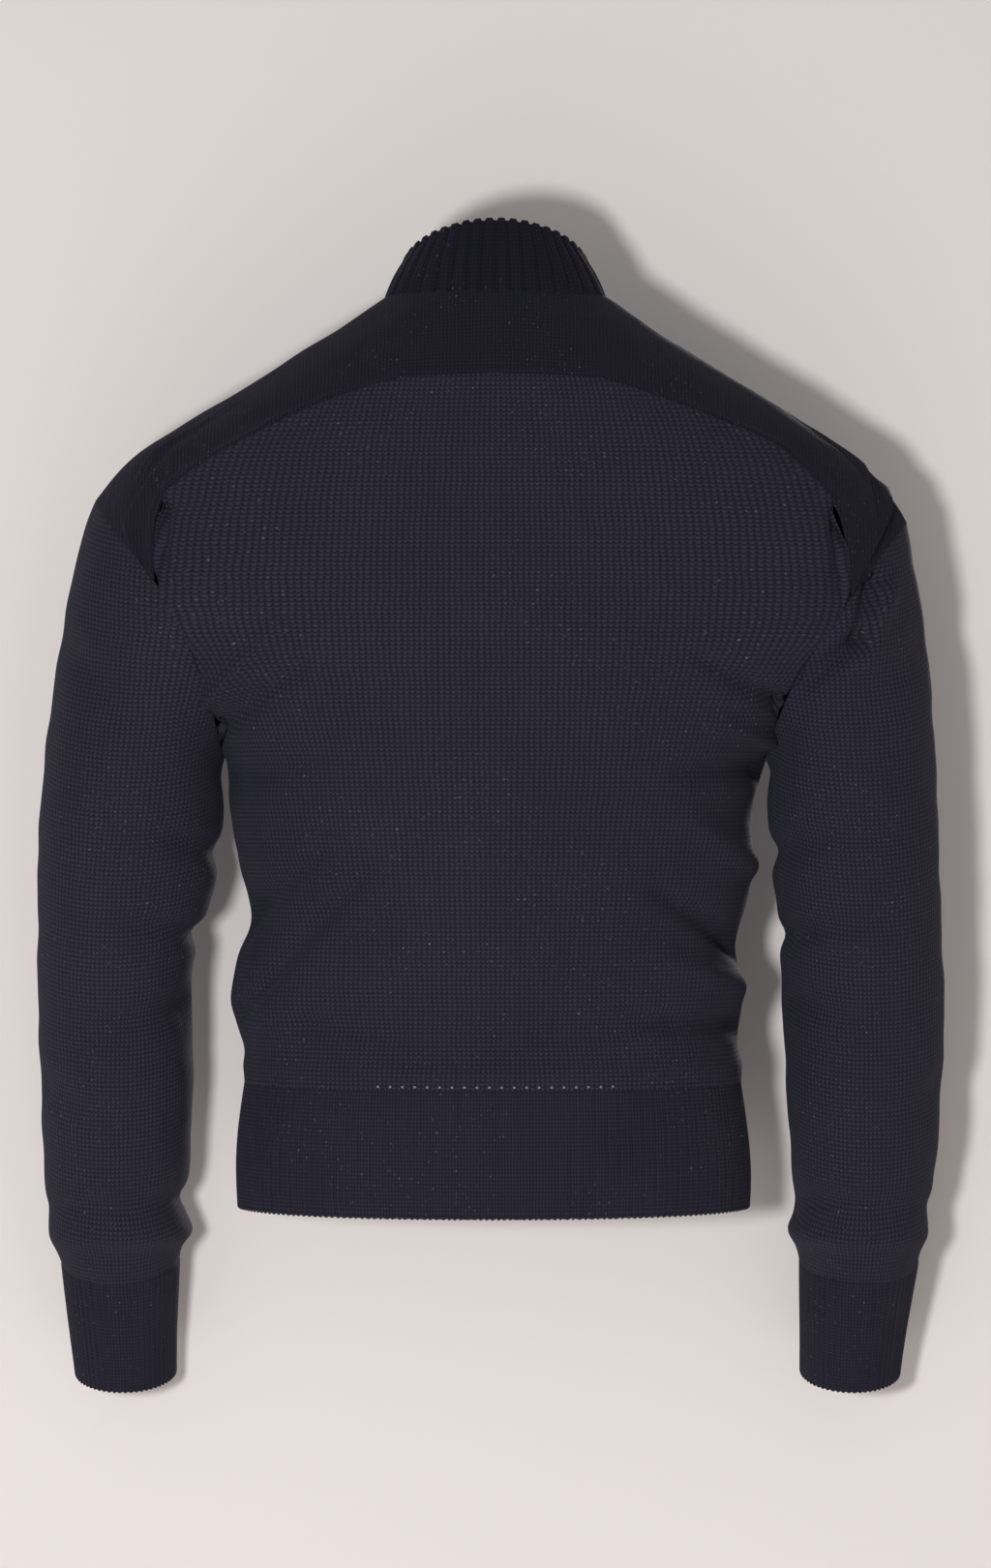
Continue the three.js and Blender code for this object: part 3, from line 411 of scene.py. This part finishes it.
def fold_height(points, ahead, folds, side=1):
    total = np.zeros(len(points))
    for facing, x1, z1, x2, z2, width, height in folds:
        distance, t = line_distance(points[:, 0], points[:, 2], side * x1, z1, side * x2, z2)
        fade = np.clip(-ahead * facing / 0.02, 0, 1) if facing else 1
        profile = np.exp(-((distance / (FOLD_NARROWING * width)) ** 2))
        total += FOLD_SHARE * height * (1 - FOLD_TAPER * t) * profile * fade
    return total


SEAM_ROLL = dict(height=0.0011, away=0.0022, width=0.0016)


def seam_roll(points, seam):
    """A low roll on each side of the yoke's back seam, with a furrow between."""
    nearest = np.full(len(points), 1.0)
    for (x1, z1), (x2, z2) in zip(seam, seam[1:]):
        distance, _ = line_distance(points[:, 0], points[:, 2], x1, z1, x2, z2)
        nearest = np.minimum(nearest, distance)
    roll = SEAM_ROLL["height"] * np.exp(-(((nearest - SEAM_ROLL["away"]) / SEAM_ROLL["width"]) ** 2))
    return np.where(points[:, 1] < 0, roll, 0)


def slack(points):
    """The slight unevenness of hanging knit."""
    x, y, z = points.T
    first = np.sin(x * 61 + z * 37 + y * 23) * np.sin(z * 83 - x * 29 + 1.3)
    second = np.sin(x * 133 - z * 71 + 2.1) * np.sin(z * 151 + y * 97)
    return 0.0007 * first + 0.0003 * second


# %% [markdown]
# Ribs are real ridges. In the hem and the cuffs each repeat is two fine ridges with a deep
# furrow after them. The collar's rib is coarser: one broad ridge and one dark furrow.

# %% Rib profiles
HEM_RIB = 0.0088
CUFF_RIB = 0.0084
COLLAR_RIB = 0.0096
RIB_MIDDLE = 0.6
HEM_RIB_DEPTH = 0.0015
CUFF_RIB_DEPTH = 0.0014
COLLAR_RIB_DEPTH = 0.0020
HEM_END = -0.642
CUFF_END = -0.769
CUFF_END_SLOPE = 0.3
COLLAR_EDGE = dict(wide=0.066, deep=0.062, middle=0.004, level=0.0104, swing=0.0306)


def double_rib(across, pitch):
    turn = np.mod(across / pitch, 1)
    ridge = np.abs(np.sin(2 * math.pi * turn)) ** 0.7
    return np.where(np.abs(turn - 0.5) < 0.15, np.maximum(ridge, 0.55), ridge)


def broad_rib(across, pitch):
    turn = np.abs(np.mod(across / pitch, 1) - 0.5) * 2
    return 1 - np.clip((turn - 0.48) / 0.42, 0, 1) ** 1.5


# %% [markdown]
# One function finishes any knitted piece: it measures the stitch map, adds up folds, rolls and
# ribs, moves both walls of the cloth together along the outward direction, and gives the piece
# its finish, its body and its flat cut.

# %% Make a knitted piece
TRIANGLES = {}


def knitted(node, levels, finish, lay_out, relief, side=0,
            take_up=SEAM_TAKE_UP):
    piece = fine_copy(node, levels, take_up)
    points, normals = points_of(piece)
    across, along = lay_out(points)
    ahead = sleeve_offsets(points, side)[1] if side else points[:, 1]
    height, lift = relief(points, ahead, across)
    moved = points + outward(points, normals, side) * height[:, None]
    moved[:, 2] += lift
    piece.data.vertices.foreach_set("co", moved.ravel())
    piece.data.update()
    store_map(piece, across, along)
    piece.data.materials.append(FINISHES[finish])
    piece.data.shade_smooth()
    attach(piece, "garment")
    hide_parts(node)
    TRIANGLES[piece.name] = len(piece.data.polygons) * 2
    return piece


def end_lift(points, rib, low=None, high=None, reach=0.004, rise=0.0013):
    """Ribs make a scalloped edge: the ridges reach a little past the furrows."""
    lift = np.zeros(len(points))
    if low is not None:
        lift -= rise * rib * np.clip(1 - (points[:, 2] - low) / reach, 0, 1)
    if high is not None:
        lift += rise * rib * np.clip(1 - (high - points[:, 2]) / reach, 0, 1)
    return lift


# %% Body panels
HEM_SEAM = -0.556
HEM_ROLL = dict(height=0.0024, above=0.012, width=0.009)
GATHER = dict(height=0.0004, reach=0.006)


def body_relief(points, ahead, across):
    height = fold_height(points, ahead, BODY_FOLDS) + slack(points)
    height += seam_roll(points, YOKE_SEAM_LEFT) + seam_roll(points, YOKE_SEAM_RIGHT)
    level = points[:, 2] - HEM_SEAM
    height += HEM_ROLL["height"] * np.exp(-(((level - HEM_ROLL["above"]) / HEM_ROLL["width"]) ** 2))
    # Small gathers where the panel is eased onto the rib.
    waves = np.sin(across / HEM_RIB * 2 * math.pi)
    height += GATHER["height"] * waves * np.exp(-level / GATHER["reach"])
    return height, 0


def yoke_relief(points, ahead, across):
    height = slack(points) + seam_roll(points, YOKE_SEAM_LEFT) + seam_roll(points, YOKE_SEAM_RIGHT)
    return height, 0


knitted("back", 3, "back", body_map, body_relief)
knitted("front_left", 3, "body", body_map, body_relief)
knitted("front_right", 3, "body", body_map, body_relief)
knitted("yoke", 3, "yoke", yoke_map, yoke_relief)
print("body panels, triangles:", TRIANGLES)


# %% Sleeves and cuffs
def sleeve_relief(side):
    def relief(points, ahead, across):
        folds = fold_height(points, ahead, SLEEVE_FOLDS, side) + slack(points)
        if side > 0:
            folds += fold_height(points, ahead, RIGHT_SEAM_FOLDS)
        return folds, 0

    return relief


def cuff_relief(points, ahead, across):
    rib = double_rib(across, CUFF_RIB)
    end = CUFF_END + CUFF_END_SLOPE * ahead
    return CUFF_RIB_DEPTH * (rib - RIB_MIDDLE), end_lift(points, rib, low=end, rise=0.0012)


for side_name, side in (("left", -1), ("right", 1)):
    knitted("sleeve_" + side_name, 3, "sleeve", sleeve_map(side, SLEEVE_RADIUS),
            sleeve_relief(side), side, take_up=SLEEVE_TAKE_UP)
    knitted("cuff_" + side_name, 3, "rib", sleeve_map(side, CUFF_RADIUS),
            cuff_relief, side)
print("with sleeves and cuffs:", sum(TRIANGLES.values()))


# %% Hem and collar
def hem_relief(points, ahead, across):
    rib = double_rib(across, HEM_RIB)
    return HEM_RIB_DEPTH * (rib - RIB_MIDDLE), end_lift(points, rib, low=HEM_END)


def collar_relief(points, ahead, across):
    rib = broad_rib(across, COLLAR_RIB)
    ahead_of_middle = (points[:, 1] - COLLAR_EDGE["middle"]) / COLLAR_EDGE["deep"]
    turn = np.arctan2(points[:, 0] / COLLAR_EDGE["wide"], -ahead_of_middle)
    high = COLLAR_EDGE["level"] + COLLAR_EDGE["swing"] * np.cos(turn)
    return COLLAR_RIB_DEPTH * (rib - RIB_MIDDLE), end_lift(points, rib, high=high, rise=0.002)


for node, wide, area in (("hem_back", 0.46, 0.038), ("hem_front_left", 0.235, 0.0195),
                         ("hem_front_right", 0.235, 0.0195)):
    knitted(node, 4, "rib", body_map, hem_relief, 0)
knitted("collar", 3, "neck_rib", collar_map, collar_relief, 0)
print("all knitted pieces:", sum(TRIANGLES.values()))

# %% [markdown]
# The zip's metal is antique brass: dark, warm and worn bright where hands rub it. Its tape is a
# plain woven strip. Both patterns read object coordinates.

# %% Zip finishes
def metal_finish():
    finish, tree, shader = new_finish("antique_brass", 0.38)
    place = tree.nodes.new("ShaderNodeTexCoord").outputs["Object"]
    wear = soft_noise(tree, place, 260, 4)
    colour = blend_colours(tree, wear, (0.09, 0.085, 0.075, 1), (0.30, 0.28, 0.24, 1))
    tree.links.new(colour, shader.inputs["Base Color"])
    shader.inputs["Metallic"].default_value = 1
    rough = maths(tree, "ADD", maths(tree, "MULTIPLY", wear, 0.3), 0.22)
    tree.links.new(rough, shader.inputs["Roughness"])
    return finish


def tape_finish():
    finish, tree, shader = new_finish("woven_tape", 0.85)
    place = tree.nodes.new("ShaderNodeTexCoord").outputs["Object"]
    split = tree.nodes.new("ShaderNodeSeparateXYZ")
    tree.links.new(place, split.inputs[0])
    slant = maths(tree, "ADD", split.outputs[0], split.outputs[2])
    twill = maths(tree, "SINE", maths(tree, "MULTIPLY", slant, 2 * math.pi / 0.0011))
    tone = maths(tree, "ADD", maths(tree, "MULTIPLY", twill, 0.3), 0.5)
    colour = blend_colours(tree, tone, (0.006, 0.006, 0.01, 1), (0.022, 0.022, 0.032, 1))
    tree.links.new(colour, shader.inputs["Base Color"])
    return finish


METAL = metal_finish()
TAPE = tape_finish()
for side_name in ("left", "right"):
    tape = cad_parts["zip_tape_" + side_name]
    tape.data.materials.clear()
    tape.data.materials.append(TAPE)

# %% [markdown]
# The teeth of one chain are one mesh: a small tapered block, repeated up the chain's path. The
# path is read from the coarse chain, and the two sides are half a pitch apart so they mesh.

# %% Zip teeth
TOOTH = dict(pitch=0.0022, height=0.00085, depth=0.0019, root=0.0026, tip=-0.0009)


def chain_teeth(side_name, side):
    node = "zip_chain_" + side_name
    spots = np.array([v.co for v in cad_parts[node].data.vertices])
    order = np.argsort(spots[:, 2])
    levels = np.unique(np.round(spots[order, 2], 3))
    ahead = [spots[np.abs(spots[:, 2] - z) < 0.0012, 1].mean() for z in levels]
    start = levels[0] + 0.002 + (TOOTH["pitch"] / 2 if side > 0 else 0)
    work = bmesh.new()
    for z in np.arange(start, levels[-1] - 0.001, TOOTH["pitch"]):
        y = float(np.interp(z, levels, ahead))
        rise = float(np.interp(z + 0.002, levels, ahead)) - float(np.interp(z - 0.002, levels, ahead))
        slope = np.array([0, rise, 0.004]) / math.hypot(rise, 0.004)
        out = np.array([0, slope[2], -slope[1]])
        block = []
        for across, share in ((TOOTH["root"], 1.0), (TOOTH["tip"], 0.62)):
            for up, forth in ((-1, -1), (1, -1), (1, 1), (-1, 1)):
                spot = np.array([side * across, y, z]) + slope * up * TOOTH["height"] * share / 2
                block.append(work.verts.new(spot + out * forth * TOOTH["depth"] * share / 2))
        a, b = block[:4], block[4:]
        work.faces.new(a)
        work.faces.new(b[::-1])
        for i in range(4):
            work.faces.new((a[i], b[i], b[(i + 1) % 4], a[(i + 1) % 4]))
    bmesh.ops.recalc_face_normals(work, faces=work.faces)
    mesh = bpy.data.meshes.new("zip_teeth_" + side_name)
    work.to_mesh(mesh)
    work.free()
    teeth = bpy.data.objects.new("zip_teeth_" + side_name, mesh)
    bpy.context.scene.collection.objects.link(teeth)
    finish_metal(teeth, node, "garment", 0.00012)
    return teeth


def finish_metal(piece, node, body, edge):
    rounded = piece.modifiers.new("edges", "BEVEL")
    rounded.width = edge
    rounded.segments = 2
    rounded.limit_method = "ANGLE"
    bpy.ops.object.select_all(action="DESELECT")
    bpy.context.view_layer.objects.active = piece
    piece.select_set(True)
    bpy.ops.object.modifier_apply(modifier="edges")
    piece.data.materials.clear()
    piece.data.materials.append(METAL)
    bpy.ops.object.shade_smooth_by_angle(angle=math.radians(35))
    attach(piece, body)
    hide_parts(node)


for side_name, side in (("left", -1), ("right", 1)):
    teeth = chain_teeth(side_name, side)
    print(teeth.name, len(teeth.data.polygons), "faces")

# %% [markdown]
# The slider, its staple, the stops and the tab keep their construction shapes, with every sharp
# edge rounded as on cast metal. The tab rides on its own body, because it swings.

# %% Slider and tab
FITTINGS = (("zip_slider", "garment", 0.0007), ("zip_bail", "garment", 0.0003),
            ("zip_stop_left", "garment", 0.0004), ("zip_stop_right", "garment", 0.0004),
            ("zip_pull_tab", "pull_tab", 0.00025))
for node, body, edge in FITTINGS:
    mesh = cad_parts[node].data.copy()
    piece = bpy.data.objects.new(node + "_cast", mesh)
    bpy.context.scene.collection.objects.link(piece)
    work = bmesh.new()
    work.from_mesh(mesh)
    bmesh.ops.remove_doubles(work, verts=work.verts, dist=1e-5)
    bmesh.ops.dissolve_limit(work, angle_limit=math.radians(2), verts=work.verts, edges=work.edges)
    work.to_mesh(mesh)
    work.free()
    finish_metal(piece, node, body, edge)
print("fittings:", [node for node, _, _ in FITTINGS])

# %% [markdown]
# The setting is a pale wall close behind the garment with a floor far below. The wall's far
# side is clear, so that other views can look through it. The main light stands just left of the camera.

# %% Wall, floor and light
WALL_Y = 0.132
FLOOR_LEVEL = -1.35
WALL_COLOUR = (0.80, 0.755, 0.735, 1)


def plain_sheet(name, corners):
    mesh = bpy.data.meshes.new(name)
    mesh.from_pydata(corners, [], [(0, 1, 2, 3)])
    sheet = bpy.data.objects.new(name, mesh)
    bpy.context.scene.collection.objects.link(sheet)
    return sheet


finish, tree, shader = new_finish("pale_paint", 0.9)
shader.inputs["Base Color"].default_value = WALL_COLOUR
clear = tree.nodes.new("ShaderNodeBsdfTransparent")
choose = tree.nodes.new("ShaderNodeMixShader")
behind = tree.nodes.new("ShaderNodeNewGeometry").outputs["Backfacing"]
tree.links.new(behind, choose.inputs["Fac"])
tree.links.new(shader.outputs[0], choose.inputs[1])
tree.links.new(clear.outputs[0], choose.inputs[2])
tree.links.new(choose.outputs[0], tree.nodes["Material Output"].inputs["Surface"])
FAR = 4
WALL_TOP = 3
wall_corners = [(-FAR, WALL_Y, FLOOR_LEVEL), (FAR, WALL_Y, FLOOR_LEVEL)]
wall_corners += [(FAR, WALL_Y, WALL_TOP), (-FAR, WALL_Y, WALL_TOP)]
floor_corners = [(x, y, FLOOR_LEVEL) for x, y in ((-FAR, -FAR), (FAR, -FAR), (FAR, FAR), (-FAR, FAR))]
wall = plain_sheet("wall", wall_corners)
floor = plain_sheet("floor", floor_corners)
for sheet in (wall, floor):
    sheet.data.materials.append(finish)
# The front of the garment has lamps of its own, which stand on the wall's far side.
wall.visible_shadow = False

world = bpy.data.worlds.new("studio")
bpy.context.scene.world = world
world.use_nodes = True
world.node_tree.nodes["Background"].inputs["Color"].default_value = (1, 0.985, 0.97, 1)
world.node_tree.nodes["Background"].inputs["Strength"].default_value = 0.40


def soft_light(name, place, aim, size, power):
    data = bpy.data.lights.new(name, "AREA")
    data.shape = "DISK"
    data.size = size
    data.energy = power
    lamp = bpy.data.objects.new(name, data)
    bpy.context.scene.collection.objects.link(lamp)
    lamp.location = place
    direction = np.array(place) - np.array(aim)
    from_x, from_y, from_z = direction / np.linalg.norm(direction)
    lamp.rotation_euler = (math.acos(from_z), 0, math.atan2(from_x, -from_y))


soft_light("key", (-0.36, -2.2, -0.45), (0, 0, -0.5), 0.2, 29)
soft_light("front_key", (0.8, 2.6, 0.3), (0, 0, -0.35), 1.0, 70)
